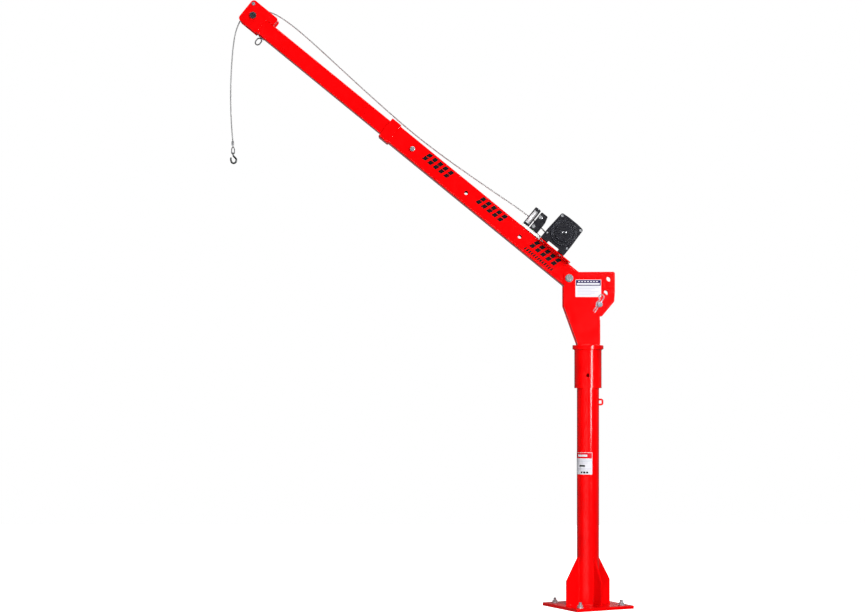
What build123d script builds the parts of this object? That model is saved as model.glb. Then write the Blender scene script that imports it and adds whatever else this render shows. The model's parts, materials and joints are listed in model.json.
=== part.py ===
"""Bolt-down swivel jib hoist with an electric rope winch.

Frame: origin at the centre of the base plate's underside, +Z up the post, the
jib reaching out along -X, Y across the jib (-Y is called near, +Y far).
Boom parts are drawn level, with the pivot bolt at (0, 0, 0), the nose towards
-X and +Z square to the boom, and are then raised by BOOM_ANGLE about the pivot.
All sizes are in millimetres.
"""

from build123d import *
import math
import os

# ---------------------------------------------------------------- base and post
PLATE_SIDE = 250.0
PLATE_T = 12.0
PLATE_TURN = 27.5           # base plate's turn about the post, seen from above
ANCHOR_OFFSET = 90.0        # anchor hole centres from the middle, both ways
ANCHOR_R = 7.5
POST_R = 41.5
POST_WALL = 5.0
POST_TOP = 950.0
CAP_T = 8.0
GUSSET_T = 6.0
GUSSET_REACH = 95.0
GUSSET_TOE = 90.0
GUSSET_TOP = 177.0
EYE_ROD_R = 3.5
EYE_LOW = 759.5
EYE_HIGH = 778.5
EYE_REACH = 54.5
LABEL_T = 0.4
LABEL_LOW = 499.0
LABEL_HIGH = 581.0
LABEL_LAP = 18.0            # label's turn past the front of the post

# ---------------------------------------------------------------- swivel head
SLEEVE_R = 51.0
SLEEVE_WALL = 5.0
SLEEVE_LOW = 821.0
SLEEVE_TOP = 966.0
FLANGE_R = 58.0
FLANGE_TOP = 982.0
BUSH_GAP = 0.05             # radial running clearance
BUSH_H = 28.0
SLEW_HOLE_R = 6.5
SLEW_HOLE_X = -4.0
SLEW_HOLE_Z = 869.0
CHEEK_IN = 39.0             # inner face of a cheek, from the jib's middle plane
CHEEK_T = 6.0
CHEEK_OUT = CHEEK_IN + CHEEK_T
PIVOT_X = -73.5
PIVOT_Z = 1231.0
PIVOT_R = 8.0
PIVOT_ACROSS = 24.0         # across flats of the pivot bolt's head and nut
PIVOT_CORNER_R = 13.2       # the hexagons' rounded corners
PIVOT_HEAD_T = 10.0
PIVOT_NUT_T = 13.0
WASHER_R = 15.0
WASHER_T = 3.0
PIN_RING = 150.0            # lift holes' distance from the pivot
PIN_R = 10.0
PIN_HOLE_R = 11.0
PIN_HEAD_R = 14.0
CLIP_WIRE_R = 1.6
LIFT_HOLE_STEP = 20.0
PIN_BELOW_AXIS = 1.5        # tail hole's angle below the boom's own direction

# ---------------------------------------------------------------- boom
BOOM_ANGLE = 39.2
BOOM_MID = 4.5              # tube's middle above the pivot, square to the boom
OUTER = 75.0
OUTER_WALL = 5.0
OUTER_TAIL = -183.0
OUTER_END = 885.0
COLLAR = 85.0
COLLAR_FROM = 847.0
COLLAR_TO = 887.0
INNER = 60.0
INNER_WALL = 4.0
INNER_TAIL = 700.0
INNER_END = 1490.0
STAGE_HOLES = (240.75, 499.0, 757.0)
STAGE_HOLE_R = 7.5
STAGE_PIN_R = 7.0
PIVOT_TUBE_R = 14.0
PAD_T = 2.4
PAD_HALF = 22.0
PAD_LENGTH = 98.0

# ---------------------------------------------------------------- nose
SHEAVE_U = 1534.0
SHEAVE_V = 15.0
SHEAVE_R = 36.0
SHEAVE_HALF = 10.0
NOSE_IN = 30.0
NOSE_T = 5.0
NOSE_TUBE_U = 1487.0        # where the cheeks meet the inner tube's end
AXLE_R = 8.0
AXLE_ACROSS = 24.0
HUB_R = 14.0
KEEPER_U = 1560.0
KEEPER_V = 50.0
KEEPER_R = 4.0
KEEPER_HEAD_R = 6.5
NOSE_EYE_U = 1463.0

# ---------------------------------------------------------------- winch
DRUM_U = 122.5
DRUM_V = 113.5
MOUNT_V = 42.0
MOUNT_T = 4.0
MOUNT_FROM = 35.0
MOUNT_TO = 178.0
MOUNT_HALF = 85.0
FOOT_V = 48.5
FOOT_GAP_HALF = 25.0        # half the gap between a bracket's feet
FACE_GAP_TOP = 54.5         # the gap's height in the gear case's face
CASE_GAP_TOP = 61.0         # and behind the face
MOTOR_GAP_TOP = 70.0        # and in the motor bracket
CASE_FACE_T = 6.0
HOUSING_TOP = 170.0
DRUM_HALF = 36.0
DRUM_CORE_R = 24.0
DRUM_FLANGE_R = 46.0
DRUM_JOURNAL_R = 25.0
DRUM_JOURNAL_L = 10.0
DRUM_FLANGE_T = 3.0
BUSH_R = 30.0
PACK_R = 38.4
SHAFT_R = 8.0
TIE_R = 5.0
TIE_DEEP = 14.0             # how far a tie rod goes into each bracket
TIE_PLACES = ((80.5, 157.5), (165.0, 157.5))
HOUSING_IN = 38.5
GEARBOX_OUT = 96.0
MOTOR_BRACKET_OUT = 60.0
MOTOR_R = 34.0
MOTOR_WALL = 3.0
MOTOR_END = 160.0
END_CAP_T = 12.0
GEAR_ROOM_R = 45.0
COVER_R = 50.0
COVER_T = 5.0
DIAL_R = 34.0
DIAL_STEM_R = 9.0
GRIP_TURN = -30.0
FOOT_BOLT_U = (80.6, 165.0)
FOOT_BOLT_Y = 66.0
FOOT_BOLT_R = 4.0

# ---------------------------------------------------------------- fairlead
ROLLER_R = 8.5
ROLLER_BORE_R = 4.0
ROLLER_GAP = 0.4            # between a roller's end and its frame
FRONT_FROM = 239.6
FRONT_TO = 263.6
FRONT_U = (FRONT_FROM + FRONT_TO) / 2
REAR_FROM = 198.8
REAR_TO = 234.4
REAR_U = 225.5
REAR_LOW = 65.3
REAR_HIGH = 107.4
FRONT_Y = 20.0
FRAME_LOW = 52.5
FRAME_TOP = 127.0
FRAME_Y = 50.0
FRONT_OPEN_LOW = 60.0
FRONT_OPEN_TOP = 120.0
PACKING_FROM = 182.0        # the white packing under both frames
PACKING_TO = 262.0
PACKING_HALF = 45.0
REAR_WALL = 6.0
AXLE_HEAD_T = 4.0

# ---------------------------------------------------------------- rope and hook
ROPE_R = 2.5
ROPE_PATH_R = 32.0          # rope's middle on the sheave
ROPE_OFF_ANGLE = 59.5       # where the rope meets the sheave, from the nose side
HOOK_X = -1331.0
HOOK_Z = 1703.0
HOOK_BAR_R = 3.4
THIMBLE_R = 2.0
FERRULE_R = 4.6

# The slack rope from the underside of the drum to the sheave, as (along, up).
RUN_POINTS = (
    (129.0, 73.1), (215.0, 87.0), (262.0, 87.6), (322.0, 85.2), (392.0, 78.4),
    (462.0, 72.6), (532.0, 67.2), (602.0, 62.1), (674.0, 58.2), (746.0, 55.7),
    (820.0, 55.3), (892.0, 57.6), (966.0, 60.7), (1040.0, 64.4), (1112.0, 68.4),
    (1184.0, 72.9), (1254.0, 77.3), (1322.0, 80.6), (1388.0, 82.2), (1448.0, 79.4),
    (1500.0, 70.0),
)
# The rope below the nose, as (X, Z): springing off the sheave, then hanging.
FALL_POINTS = (
    (-1306.1, 2197.5), (-1321.5, 2158.0), (-1330.2, 2106.0), (-1335.4, 2046.0),
    (-1339.0, 1980.0), (-1340.4, 1912.0), (-1338.8, 1846.0), (-1335.6, 1788.0),
    (-1332.0, 1748.0),
)

os.makedirs("parts", exist_ok=True)

BOOM_PLACE = Pos(PIVOT_X, 0, PIVOT_Z) * Rot(0, BOOM_ANGLE, 0)
PLATE_PLACE = Rot(0, 0, PLATE_TURN)


# ---------------------------------------------------------------- small helpers
def save(name, shape):
    """Write one node's solids."""
    export_step(shape, os.path.join("parts", name + ".step"))


def save_boom(name, shape):
    """Write a boom node, raised to the boom's angle."""
    save(name, BOOM_PLACE * shape)


def block(x0, x1, y0, y1, z0, z1):
    """A box between two corners."""
    size = (x1 - x0, y1 - y0, z1 - z0)
    middle = ((x0 + x1) / 2, (y0 + y1) / 2, (z0 + z1) / 2)
    return Pos(*middle) * Box(*size)


def boom_block(u0, u1, y0, y1, v0, v1):
    """A box in boom sizes: u towards the nose, v square to the boom."""
    return block(-u1, -u0, y0, y1, v0, v1)


def rod_z(radius, z0, z1, x=0.0, y=0.0):
    """A round bar standing along Z."""
    return Pos(x, y, (z0 + z1) / 2) * Cylinder(radius, z1 - z0)


def rod_y(radius, y0, y1, x=0.0, z=0.0):
    """A round bar lying along Y."""
    return Pos(x, (y0 + y1) / 2, z) * Rot(90, 0, 0) * Cylinder(radius, y1 - y0)


def boom_rod(radius, y0, y1, u, v):
    """A round bar across the boom."""
    return rod_y(radius, y0, y1, -u, v)


def boom_rod_z(radius, v0, v1, u, y):
    """A round bar square to the boom, through its top."""
    return rod_z(radius, v0, v1, -u, y)


def tube_z(outer, inner, z0, z1):
    """A round tube standing along Z."""
    return rod_z(outer, z0, z1) - rod_z(inner, z0 - 1, z1 + 1)


def hex_y(across, y0, y1, x=0.0, z=0.0):
    """A hexagon bar along Y, for bolt heads and nuts."""
    outline = RegularPolygon(across / 2, 6, major_radius=False)
    prism = extrude(outline, (y1 - y0) / 2, both=True)
    return Pos(x, (y0 + y1) / 2, z) * Rot(90, 0, 0) * prism


def boom_hex(across, y0, y1, u, v):
    """A hexagon bar across the boom."""
    return hex_y(across, y0, y1, -u, v)


def plate_y(points, radii, y0, y1):
    """A plate standing in XZ, with rounded corners, between two Y faces."""
    corners = [(x, 0, z) for x, z in points]
    outline = FilletPolyline(*corners, radius=radii, close=True)
    face = Face(Wire(outline.edges()))
    slab = extrude(face, y1 - y0, dir=(0, 1, 0))
    return Pos(0, y0, 0) * slab


def boom_plate(points, radii, y0, y1):
    """A plate standing along the boom, from (u, v) corners."""
    return plate_y([(-u, v) for u, v in points], radii, y0, y1)


def wire_rod(points, radii, radius):
    """A round rod along straight runs joined by arcs."""
    path = FilletPolyline(*points, radius=radii)
    start = Plane(origin=path @ 0, z_dir=path % 0)
    return sweep(start * Circle(radius), path=path)


def cord_radii(points):
    """The largest arc that each corner of a free rope's route allows."""
    radii = []
    for before, corner, after in zip(points, points[1:], points[2:]):
        first = Vector(*corner) - Vector(*before)
        second = Vector(*after) - Vector(*corner)
        turn = math.radians(first.get_angle(second))
        shorter = min(first.length, second.length)
        radii.append(0.45 * shorter / math.tan(turn / 2))
    return radii


def square_tube(side, wall, u0, u1, mid, round_out):
    """A square tube along the boom."""
    half = side / 2
    body = boom_block(u0, u1, -half, half, mid - half, mid + half)
    body = fillet(body.edges().filter_by(Axis.X), round_out)
    inner = half - wall
    bore = boom_block(u0 - 1, u1 + 1, -inner, inner, mid - inner, mid + inner)
    bore = fillet(bore.edges().filter_by(Axis.X), max(round_out - wall, 1.5))
    return body - bore


# ---------------------------------------------------------------- base and post
def make_base_plate():
    half = PLATE_SIDE / 2
    plate = block(-half, half, -half, half, 0, PLATE_T)
    plate = fillet(plate.edges().filter_by(Axis.Z), 4)
    plate = chamfer(plate.edges().group_by(Axis.Z)[-1], 0.8)
    for sx in (-1, 1):
        for sy in (-1, 1):
            plate -= rod_z(ANCHOR_R, -1, PLATE_T + 1, sx * ANCHOR_OFFSET, sy * ANCHOR_OFFSET)
    save("base_plate", PLATE_PLACE * plate)


def make_gussets():
    """Four stiffeners between the plate and the post."""
    post = rod_z(POST_R, 0, GUSSET_TOP + PLATE_T + 10)
    corners = [
        (POST_R - 4, PLATE_T), (GUSSET_REACH, PLATE_T), (GUSSET_REACH, PLATE_T + GUSSET_TOE),
        (POST_R + 4, PLATE_T + GUSSET_TOP), (POST_R - 4, PLATE_T + GUSSET_TOP),
    ]
    web = plate_y(corners, [0, 0, 5, 3, 0], -GUSSET_T / 2, GUSSET_T / 2) - post
    save("post_gussets", Compound([PLATE_PLACE * Rot(0, 0, 90 * n) * web for n in range(4)]))


def make_post():
    tube = tube_z(POST_R, POST_R - POST_WALL, PLATE_T, POST_TOP)
    tube -= rod_y(SLEW_HOLE_R, -POST_R - 1, 0, SLEW_HOLE_X, SLEW_HOLE_Z)
    save("post_tube", tube)
    cap = rod_z(POST_R - 1.5, POST_TOP, POST_TOP + CAP_T)
    save("post_cap", chamfer(cap.edges().group_by(Axis.Z)[-1], 1.5))


def make_hook_keeper():
    """The staple on the post that the hook is parked in."""
    points = [(POST_R - 6, 0, EYE_LOW), (EYE_REACH, 0, EYE_LOW),
              (EYE_REACH, 0, EYE_HIGH), (POST_R - 6, 0, EYE_HIGH)]
    rod = wire_rod(points, [6, 6], EYE_ROD_R)
    save("hook_keeper", rod - rod_z(POST_R, EYE_LOW - 10, EYE_HIGH + 10))


def make_post_label():
    """A printed sheet wrapped part of the way round the post."""
    band = tube_z(POST_R + LABEL_T, POST_R, LABEL_LOW, LABEL_HIGH)
    keep = block(-60, 0, -60, 0, LABEL_LOW, LABEL_HIGH)
    lap = Rot(0, 0, LABEL_LAP) * block(-20, 0, -60, 0, LABEL_LOW, LABEL_HIGH)
    save("post_label", band & (keep + lap))


# ---------------------------------------------------------------- swivel head
def make_sleeve():
    sleeve = tube_z(SLEEVE_R, SLEEVE_R - SLEEVE_WALL, SLEEVE_LOW, SLEEVE_TOP)
    sleeve -= rod_y(SLEW_HOLE_R, -SLEEVE_R - 1, 0, SLEW_HOLE_X, SLEW_HOLE_Z)
    save("head_sleeve", sleeve)
    bore = POST_R + BUSH_GAP
    lows = (SLEEVE_LOW + 4, POST_TOP - BUSH_H - 8)
    bushes = [tube_z(SLEEVE_R - SLEEVE_WALL, bore, low, low + BUSH_H) for low in lows]
    save("slew_bushes", Compound(bushes))
    flange = rod_z(FLANGE_R, SLEEVE_TOP, FLANGE_TOP)
    save("head_flange", chamfer(flange.edges(), 1.2))
    save("thrust_washer", rod_z(POST_R, POST_TOP + CAP_T + 0.4, SLEEVE_TOP))


def lift_hole(step):
    """Where a lift hole is in the cheeks: step 0 is the boom raised."""
    angle = math.radians(BOOM_ANGLE + PIN_BELOW_AXIS - step * LIFT_HOLE_STEP)
    return PIVOT_X + PIN_RING * math.cos(angle), PIVOT_Z - PIN_RING * math.sin(angle)


def make_cheeks():
    """Two side plates that hold the boom's tail."""
    offsets = [(-20, 23), (170.3, 24), (170.5, -50), (168, -87), (121.5, -143),
               (114.5, -139.5), (114.5, -249), (33, -249), (-20, -103)]
    corners = [(PIVOT_X + dx, PIVOT_Z + dz) for dx, dz in offsets]
    radii = [6, 7, 12, 10, 2, 0.8, 0, 0, 14]
    for name, y0 in (("near", -CHEEK_OUT), ("far", CHEEK_IN)):
        cheek = plate_y(corners, radii, y0, y0 + CHEEK_T)
        cheek -= rod_y(PIVOT_R + BUSH_GAP, y0 - 1, y0 + CHEEK_T + 1, PIVOT_X, PIVOT_Z)
        for step in range(3):
            x, z = lift_hole(step)
            cheek -= rod_y(PIN_HOLE_R, y0 - 1, y0 + CHEEK_T + 1, x, z)
        save(f"head_cheek_{name}", cheek)


def make_head_webs():
    """Plates that close the cheeks into a box below the boom."""
    front = [(-38.5, FLANGE_TOP), (-32.2, FLANGE_TOP), (-85.4, 1128.0), (-91.5, 1128.0)]
    front_web = plate_y(front, [0, 0, 2, 2], -CHEEK_IN, CHEEK_IN)
    rear_web = block(33, 39, -CHEEK_IN, CHEEK_IN, FLANGE_TOP, 1080)
    save("head_webs", Compound([front_web, rear_web]))


def make_data_plate():
    """The printed plate on the near cheek."""
    y1 = -CHEEK_OUT
    corners = [(-50.2, 1161), (45.4, 1161), (45.4, 1225.5), (-50.2, 1225.5)]
    save("head_data_plate", plate_y(corners, [2, 2, 2, 2], y1 - LABEL_T, y1))


def make_pivot_bolt():
    outside = CHEEK_OUT + WASHER_T
    bolt = rod_y(PIVOT_R, -outside, outside + PIVOT_NUT_T + 5, PIVOT_X, PIVOT_Z)
    head = hex_y(PIVOT_ACROSS, -outside - PIVOT_HEAD_T, -outside, PIVOT_X, PIVOT_Z)
    head &= rod_y(PIVOT_CORNER_R, -outside - PIVOT_HEAD_T, -outside, PIVOT_X, PIVOT_Z)
    save("pivot_bolt", bolt + head)
    hole = rod_y(PIVOT_R, -outside - 1, outside + PIVOT_NUT_T + 6, PIVOT_X, PIVOT_Z)
    washer = rod_y(WASHER_R, -outside, -CHEEK_OUT, PIVOT_X, PIVOT_Z)
    far_washer = rod_y(WASHER_R, CHEEK_OUT, outside, PIVOT_X, PIVOT_Z)
    nut = hex_y(PIVOT_ACROSS, outside, outside + PIVOT_NUT_T, PIVOT_X, PIVOT_Z)
    nut &= rod_y(PIVOT_CORNER_R, outside, outside + PIVOT_NUT_T, PIVOT_X, PIVOT_Z)
    save("pivot_nut_and_washers", Compound([washer - hole, far_washer - hole, nut - hole]))


def make_lift_pin():
    """The headed pin that locks the boom's height, and its spring clip."""
    x, z = lift_hole(0)
    near_end = -CHEEK_OUT - 13
    shank = rod_y(PIN_R, near_end, CHEEK_OUT, x, z)
    shank = chamfer(shank.edges().group_by(Axis.Y)[0], 2)
    head = rod_y(PIN_HEAD_R, CHEEK_OUT, CHEEK_OUT + 9, x, z)
    head = fillet(head.edges().group_by(Axis.Y)[-1], 3)
    clip_y = -CHEEK_OUT - 6.5
    clip_place = Pos(x, clip_y, z) * Rot(0, BOOM_ANGLE - 8, 0)
    clip_hole = clip_place * rod_z(CLIP_WIRE_R + 0.1, -PIN_HEAD_R, PIN_HEAD_R)
    save("lift_pin", shank + head - clip_hole)
    leg = [(0, 0, -36), (0, 0, 32), (-15, 0, 38), (-19, 0, 24), (-9, 0, 14),
           (-13.5, 0, 3), (-13.5, 0, -3), (-7.2, 0, -14), (-8.2, 0, -34)]
    clip = wire_rod(leg, [6.5, 6.5, 4, 4, 3, 3, 3], CLIP_WIRE_R)
    save("lift_pin_clip", clip_place * clip)


# ---------------------------------------------------------------- boom
def tail_slot():
    """Room for the lift pin, from the tail's hole down through its underside."""
    deep = OUTER / 2 + 1
    ring = boom_rod(PIN_RING + PIN_HOLE_R, -deep, deep, 0, 0)
    ring -= boom_rod(PIN_RING - PIN_HOLE_R, -deep - 1, deep + 1, 0, 0)
    start = math.radians(PIN_BELOW_AXIS)
    end = math.radians(PIN_BELOW_AXIS + LIFT_HOLE_STEP)
    far = 2 * PIN_RING
    wedge = boom_plate([(0, 0), (-far * math.cos(start), -far * math.sin(start)),
                        (-far * math.cos(end), -far * math.sin(end))], [0, 0, 0], -deep, deep)
    hole = boom_rod(PIN_HOLE_R, -deep, deep, -PIN_RING * math.cos(start),
                    -PIN_RING * math.sin(start))
    return (ring & wedge) + hole


def make_outer_boom():
    tube = square_tube(OUTER, OUTER_WALL, OUTER_TAIL, OUTER_END, BOOM_MID, 7)
    tube -= tail_slot()
    tube -= boom_rod(PIVOT_TUBE_R, -OUTER, OUTER, 0, 0)
    for u in STAGE_HOLES:
        tube -= boom_rod(STAGE_HOLE_R, -OUTER, OUTER, u, BOOM_MID)
    save_boom("boom_outer_tube", tube)
    sleeve = boom_rod(PIVOT_TUBE_R, -CHEEK_IN + 0.3, CHEEK_IN - 0.3, 0, 0)
    sleeve -= boom_rod(PIVOT_R + BUSH_GAP, -CHEEK_IN, CHEEK_IN, 0, 0)
    save_boom("boom_pivot_tube", sleeve)
    collar = square_tube(COLLAR, (COLLAR - OUTER) / 2, COLLAR_FROM, COLLAR_TO, BOOM_MID, 9)
    outer = square_tube(OUTER, 30, COLLAR_FROM - 1, OUTER_END, BOOM_MID, 7)
    save_boom("boom_collar", collar - outer)


def make_slide_pads():
    """Four strips in the outer tube's mouth, and the packing under the fairlead."""
    face = OUTER / 2 - OUTER_WALL
    u0 = OUTER_END - PAD_LENGTH
    pads = []
    for side in (-1, 1):
        inside, outside = sorted((side * (face - PAD_T), side * face))
        low, high = BOOM_MID - PAD_HALF, BOOM_MID + PAD_HALF
        pads.append(boom_block(u0, OUTER_END, inside, outside, low, high))
        low, high = BOOM_MID + inside, BOOM_MID + outside
        pads.append(boom_block(u0, OUTER_END, -PAD_HALF, PAD_HALF, low, high))
    low, half = BOOM_MID + OUTER / 2, PACKING_HALF
    packing = boom_block(PACKING_FROM, PACKING_TO, -half, half, low, FRAME_LOW)
    pads.append(chamfer(packing.edges().filter_by(Axis.Z), 2))
    save_boom("boom_slide_pads", Compound(pads))


def make_extension_pin():
    """The detent pin that locks the inner tube, drawn back clear of it."""
    wall = OUTER / 2
    pin = boom_rod(STAGE_PIN_R, -wall - 8, -wall + OUTER_WALL + 1.2, STAGE_HOLES[-1], BOOM_MID)
    pin = chamfer(pin.edges().group_by(Axis.Y)[-1], 1.5)
    head = boom_rod(9.5, -wall - 14, -wall - 8, STAGE_HOLES[-1], BOOM_MID)
    head = fillet(head.edges().group_by(Axis.Y)[0], 2)
    save_boom("extension_pin", pin + head)


# ---------------------------------------------------------------- inner boom and nose
def make_inner_boom():
    tube = square_tube(INNER, INNER_WALL, INNER_TAIL, INNER_END, BOOM_MID, 5)
    tube -= boom_rod(STAGE_HOLE_R, -OUTER, OUTER, STAGE_HOLES[-1], BOOM_MID)
    save_boom("boom_inner_tube", tube)


def make_nose_cheeks():
    top = BOOM_MID + INNER / 2
    corners = [(NOSE_TUBE_U, -30), (1572, -30), (1572, 64), (1452, 64), (1452, top),
               (NOSE_TUBE_U, top)]
    for name, y0 in (("near", -NOSE_IN - NOSE_T), ("far", NOSE_IN)):
        cheek = boom_plate(corners, [3, 13, 13, 9, 2, 0], y0, y0 + NOSE_T)
        cheek -= boom_rod(AXLE_R, y0 - 1, y0 + NOSE_T + 1, SHEAVE_U, SHEAVE_V)
        cheek -= boom_rod(KEEPER_R, y0 - 1, y0 + NOSE_T + 1, KEEPER_U, KEEPER_V)
        save_boom(f"nose_cheek_{name}", cheek)
    brace = boom_block(1455, 1461, -NOSE_IN, NOSE_IN, top, 60)
    save_boom("nose_brace", fillet(brace.edges().filter_by(Axis.Y).group_by(Axis.Z)[-1], 2))


def make_nose_hardware():
    face = NOSE_IN + NOSE_T
    axle = boom_rod(AXLE_R, -face, face + 16, SHEAVE_U, SHEAVE_V)
    head = boom_hex(AXLE_ACROSS, -face - 8, -face, SHEAVE_U, SHEAVE_V)
    head &= boom_rod(AXLE_ACROSS / 2 + 1, -face - 8, -face, SHEAVE_U, SHEAVE_V)
    nut = boom_hex(AXLE_ACROSS, face, face + 13, SHEAVE_U, SHEAVE_V)
    nut -= boom_rod(AXLE_R, face - 1, face + 20, SHEAVE_U, SHEAVE_V)
    save_boom("sheave_axle", Compound([axle + head, nut]))
    keeper = boom_rod(KEEPER_R, -face, face, KEEPER_U, KEEPER_V)
    near = boom_rod(KEEPER_HEAD_R, -face - 4, -face, KEEPER_U, KEEPER_V)
    far = boom_rod(KEEPER_HEAD_R, face, face + 4, KEEPER_U, KEEPER_V)
    save_boom("rope_keeper_bolt", keeper + near + far)


def make_sheave():
    """A grooved wheel with a long hub that keeps it in the middle."""
    half = SHEAVE_HALF
    groove = ROPE_PATH_R - ROPE_R - 0.3
    bore = AXLE_R + BUSH_GAP
    hub_end = NOSE_IN - 0.3
    rim = [(HUB_R, -half), (SHEAVE_R, -half), (SHEAVE_R, -5.8), (groove, -1.8),
           (groove, 1.8), (SHEAVE_R, 5.8), (SHEAVE_R, half), (HUB_R, half),
           (HUB_R, hub_end), (bore, hub_end), (bore, -hub_end), (HUB_R, -hub_end)]
    outline = Polyline(*[(r, y) for r, y in rim], close=True)
    wheel = revolve(Face(Wire(outline.edges())), Axis.Y)
    save_boom("nose_sheave", Pos(-SHEAVE_U, 0, SHEAVE_V) * wheel)


def make_nose_eye():
    """The fixed oval eye under the nose."""
    under = BOOM_MID - INNER / 2
    u = NOSE_EYE_U
    loop = [(-u - 9, 0, under - 12), (-u - 9, 0, under - 26), (-u, 0, under - 40),
            (-u + 9, 0, under - 26), (-u + 9, 0, under - 12), (-u, 0, under - 3)]
    path = FilletPolyline(*loop, radius=[6, 8, 8, 8, 6, 7], close=True)
    start = Plane(origin=path @ 0, z_dir=path % 0)
    ring = sweep(start * Circle(2.5), path=path)
    pad = boom_block(u - 12, u + 12, -9, 9, under - 3.5, under)
    save_boom("nose_eye", ring + pad)


# ---------------------------------------------------------------- winch
def bracket_outline():
    """The winch end bracket: arched top, waisted sides, a foot at each end."""
    u, top, gap = DRUM_U, HOUSING_TOP, FOOT_GAP_HALF
    return ([(u - 53, FOOT_V), (u - gap, FOOT_V), (u - gap, FACE_GAP_TOP), (u + gap, FACE_GAP_TOP),
             (u + gap, FOOT_V), (u + 57, FOOT_V), (u + 56.5, 92), (u + 52, top - 3),
             (u + 20, top), (u - 20, top), (u - 49.5, top - 3), (u - 53, 92)],
            [3, 2, 1, 1, 2, 3, 60, 8, 60, 60, 8, 60])


def make_winch_mount():
    plate = boom_block(MOUNT_FROM, MOUNT_TO, -MOUNT_HALF, MOUNT_HALF, MOUNT_V, MOUNT_V + MOUNT_T)
    plate = fillet(plate.edges().filter_by(Axis.Z), 6)
    for u in FOOT_BOLT_U:
        for side in (-1, 1):
            plate -= boom_rod_z(FOOT_BOLT_R + 0.3, MOUNT_V - 1, FOOT_V, u, side * FOOT_BOLT_Y)
    save_boom("winch_mount_plate", plate)


def make_foot_bolts():
    """Bolts and spacer washers under the winch's feet."""
    bolts = []
    spacers = []
    for u in FOOT_BOLT_U:
        for side in (-1, 1):
            y = side * FOOT_BOLT_Y
            head = Pos(-u, y, MOUNT_V - 3) * extrude(RegularPolygon(6.5, 6, major_radius=False), 3)
            bolts.append(head + boom_rod_z(FOOT_BOLT_R, MOUNT_V - 3, FOOT_V + 14, u, y))
            ring = boom_rod_z(10, MOUNT_V + MOUNT_T, FOOT_V, u, y)
            spacers.append(ring - boom_rod_z(FOOT_BOLT_R, MOUNT_V, FOOT_V + 1, u, y))
    save_boom("winch_foot_bolts", Compound(bolts))
    save_boom("winch_spacers", Compound(spacers))


def foot_gap(y0, y1, top):
    """The space between a bracket's feet, up to a height."""
    return boom_block(DRUM_U - FOOT_GAP_HALF, DRUM_U + FOOT_GAP_HALF, y0, y1, FOOT_V - 1, top)


def make_end_brackets():
    points, radii = bracket_outline()
    gear = boom_plate(points, radii, -GEARBOX_OUT, -HOUSING_IN)
    gear -= boom_rod(GEAR_ROOM_R, -GEARBOX_OUT - 1, -HOUSING_IN - 9, DRUM_U, DRUM_V)
    gear -= boom_rod(BUSH_R, -GEARBOX_OUT, -HOUSING_IN + 1, DRUM_U, DRUM_V)
    gear -= foot_gap(-GEARBOX_OUT + CASE_FACE_T, -HOUSING_IN + 1, CASE_GAP_TOP)
    motor = boom_plate(points, radii, HOUSING_IN, MOTOR_BRACKET_OUT)
    motor -= boom_rod(BUSH_R, HOUSING_IN - 1, MOTOR_BRACKET_OUT + 1, DRUM_U, DRUM_V)
    motor -= foot_gap(HOUSING_IN - 1, MOTOR_BRACKET_OUT + 1, MOTOR_GAP_TOP)
    for u, v in TIE_PLACES:
        gear -= boom_rod(TIE_R, -HOUSING_IN - TIE_DEEP - 1, -HOUSING_IN + 1, u, v)
        motor -= boom_rod(TIE_R, HOUSING_IN - 1, HOUSING_IN + TIE_DEEP + 1, u, v)
    for u in FOOT_BOLT_U:
        gear -= boom_rod_z(FOOT_BOLT_R, FOOT_V - 1, FOOT_V + 14, u, -FOOT_BOLT_Y)
        motor -= boom_rod_z(FOOT_BOLT_R, FOOT_V - 1, FOOT_V + 14, u, FOOT_BOLT_Y)
    save_boom("winch_gear_housing", gear)
    save_boom("winch_motor_bracket", motor)


def make_gear_cover():
    """The round cover of the gear case, with stepped rings and a dial seat."""
    out = GEARBOX_OUT
    face = -out - COVER_T
    cover = boom_rod(COVER_R, face, -out, DRUM_U, DRUM_V)
    cover = fillet(cover.edges().group_by(Axis.Y)[0], 3)
    cover -= boom_rod(COVER_R - 3.5, face - 1, face + 1.5, DRUM_U, DRUM_V)
    cover += boom_rod(COVER_R - 7.5, face - 1, face + 1.5, DRUM_U, DRUM_V)
    cover -= boom_rod(DIAL_R + 4.5, face - 2, face + 2, DRUM_U, DRUM_V)
    cover -= boom_rod(DIAL_STEM_R + BUSH_GAP, face - 2, -out + 1, DRUM_U, DRUM_V)
    save_boom("winch_gear_cover", cover)


def make_clutch_dial():
    """The turning clutch dial, with a finger bar across it."""
    out = GEARBOX_OUT
    dial = boom_rod(DIAL_R, -out - 9, -out - 3.3, DRUM_U, DRUM_V)
    dial = fillet(dial.edges().group_by(Axis.Y)[0], 1.5)
    grip = boom_block(-27, 27, -out - 15, -out - 8.5, -5, 5)
    grip = fillet(grip.edges().filter_by(Axis.Y), 4.5)
    grip = Pos(-DRUM_U, 0, DRUM_V) * Rot(0, GRIP_TURN, 0) * grip
    stem = boom_rod(DIAL_STEM_R, -out - 4, -out + 6, DRUM_U, DRUM_V)
    save_boom("clutch_dial", dial + grip + stem)


def make_cover_screws():
    """Socket screws in the gear case's corners."""
    screws = []
    out = GEARBOX_OUT
    for u, v, r in ((79.8, 158.6, 5), (166.8, 158.6, 5), (77.4, 74.7, 3.5), (170.6, 75.2, 3.5)):
        head = boom_rod(r, -out - 4, -out, u, v)
        head -= boom_hex(r, -out - 4.1, -out - 1.5, u, v)
        screws.append(head)
    save_boom("gear_cover_screws", Compound(screws))


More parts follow.
